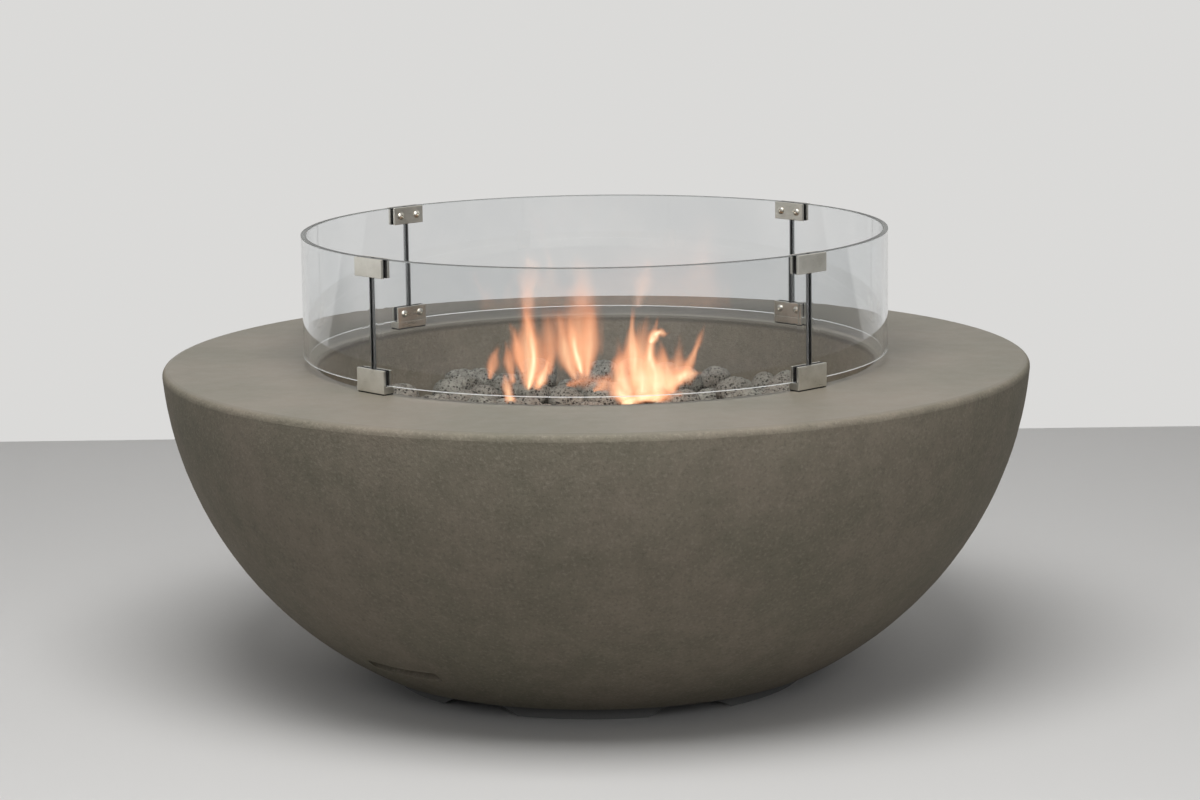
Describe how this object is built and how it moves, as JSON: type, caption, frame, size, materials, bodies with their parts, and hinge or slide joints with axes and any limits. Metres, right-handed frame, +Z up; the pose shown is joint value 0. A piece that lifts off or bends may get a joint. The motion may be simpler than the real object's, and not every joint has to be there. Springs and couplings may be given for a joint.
{
  "type": "gas fire bowl",
  "caption": "Round cast concrete gas fire bowl with a broad flat rim, a fire well of lava stones over a ring burner, and a lift-off curved glass wind guard in steel clips.",
  "frame": {"origin": "on the bowl's upright axis, at the floor", "axes": "+Z up along the bowl's axis, -Y towards the viewer of the picture"},
  "size_m": [1.0655, 1.0654, 0.553],
  "materials": {
    "concrete": "matt cast concrete",
    "lava_stone": "porous lava",
    "glass": "clear, slightly grey",
    "clip_steel": "brushed",
    "burner_steel": "heat dulled",
    "clip_rubber": "matt black",
    "lead_rubber": "satin red",
    "brass": "machined",
    "black_plastic": "fine texture",
    "white_ceramic": "unglazed",
    "cell_skin": "plain"
  },
  "bodies": {
    "bowl": {"air_mixer": "brass", "bowl_shell": "concrete", "bracket_screws": "burner_steel", "burner_gas_line": "burner_steel", "burner_locknuts": "burner_steel", "burner_nipple": "burner_steel", "burner_pan": "burner_steel", "burner_ring": "burner_steel", "control_tray": "clip_steel", "electrode_insulator": "white_ceramic", "electrode_rod": "burner_steel", "gas_inlet_fitting": "brass", "gas_valve_body": "brass", "igniter_battery": "cell_skin", "igniter_body": "black_plastic", "igniter_nut": "black_plastic", "ignition_lead": "lead_rubber", "lava_rocks": "lava_stone", "line_nuts": "brass", "orifice_elbow": "brass", "pilot_bracket": "burner_steel", "thermocouple": "brass", "thermocouple_lead": "brass", "tray_screws": "clip_steel", "valve_nut": "brass"},
    "valve_plunger": {"valve_plunger": "brass"},
    "control_knob": {"control_knob": "black_plastic", "valve_spindle": "burner_steel"},
    "igniter_button": {"igniter_button": "black_plastic"},
    "wind_guard": {"upper_clip_pads": "clip_rubber", "lower_clip_liners": "clip_rubber", "guard_foot_pads": "clip_rubber", "upper_clip_screws": "clip_steel", "lower_clip_screws": "clip_steel", "glass_panel_front": "glass", "glass_panel_right": "glass", "glass_panel_back": "glass", "glass_panel_left": "glass", "upper_clip_outer_plate_front_left": "clip_steel", "upper_clip_inner_plate_front_left": "clip_steel", "lower_clip_body_front_left": "clip_steel", "lower_clip_inner_plate_front_left": "clip_steel", "upper_clip_outer_plate_front_right": "clip_steel", "upper_clip_inner_plate_front_right": "clip_steel", "lower_clip_body_front_right": "clip_steel", "lower_clip_inner_plate_front_right": "clip_steel", "upper_clip_outer_plate_back_right": "clip_steel", "upper_clip_inner_plate_back_right": "clip_steel", "lower_clip_body_back_right": "clip_steel", "lower_clip_inner_plate_back_right": "clip_steel", "upper_clip_outer_plate_back_left": "clip_steel", "upper_clip_inner_plate_back_left": "clip_steel", "lower_clip_body_back_left": "clip_steel", "lower_clip_inner_plate_back_left": "clip_steel"}
  },
  "joints": [
    {"name": "knob_push", "type": "slide", "parent": "bowl", "child": "valve_plunger", "axis": [-0.3653, -0.4354, 0.8228], "range_m": [0, 0.003], "stiffness_N_per_m": 1000},
    {"name": "knob_turn", "type": "hinge", "parent": "valve_plunger", "child": "control_knob", "pos_m": [0.21907, 0.22996, 0.08044], "axis": [0.3653, 0.4354, -0.8228], "range_deg": [-90, 130]},
    {"name": "igniter_press", "type": "slide", "parent": "bowl", "child": "igniter_button", "axis": [-0.3653, -0.4354, 0.8228], "range_m": [0, 0.004], "stiffness_N_per_m": 800},
    {"name": "guard_lift", "type": "slide", "parent": "bowl", "child": "wind_guard", "axis": [0, 0, 1], "range_m": [0, 0.25]}
  ]
}
